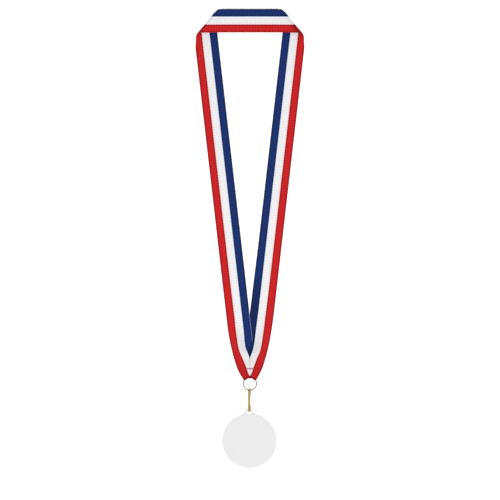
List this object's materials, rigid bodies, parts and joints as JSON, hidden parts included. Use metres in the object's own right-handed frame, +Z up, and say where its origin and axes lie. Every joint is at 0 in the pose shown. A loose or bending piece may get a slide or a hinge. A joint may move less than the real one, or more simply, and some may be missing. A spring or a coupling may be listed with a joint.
{
  "type": "sports medal on a neck ribbon",
  "caption": "Blank round medal with a drilled tab, a spring clip and a jump ring, on a red, white and blue neck ribbon with corner folds.",
  "frame": {"origin": "on the surface it lies on, at the middle of its outline", "axes": "+Y from the medal to the top of the ribbon's loop, +Z up from the surface to the medal's front"},
  "size_m": [0.1012, 0.4284, 0.007],
  "materials": {
    "ribbon": "matt woven polyester with crosswise ribs, in red, white and navy stripes",
    "ring": "bright plated wire with a pale gold tint",
    "clip": "gilt spring strip, satin",
    "medal": "smooth white coating, satin"
  },
  "bodies": {
    "root": {"ribbon": "ribbon", "ring": "ring", "clip": "clip", "medal": "medal"}
  },
  "joints": []
}
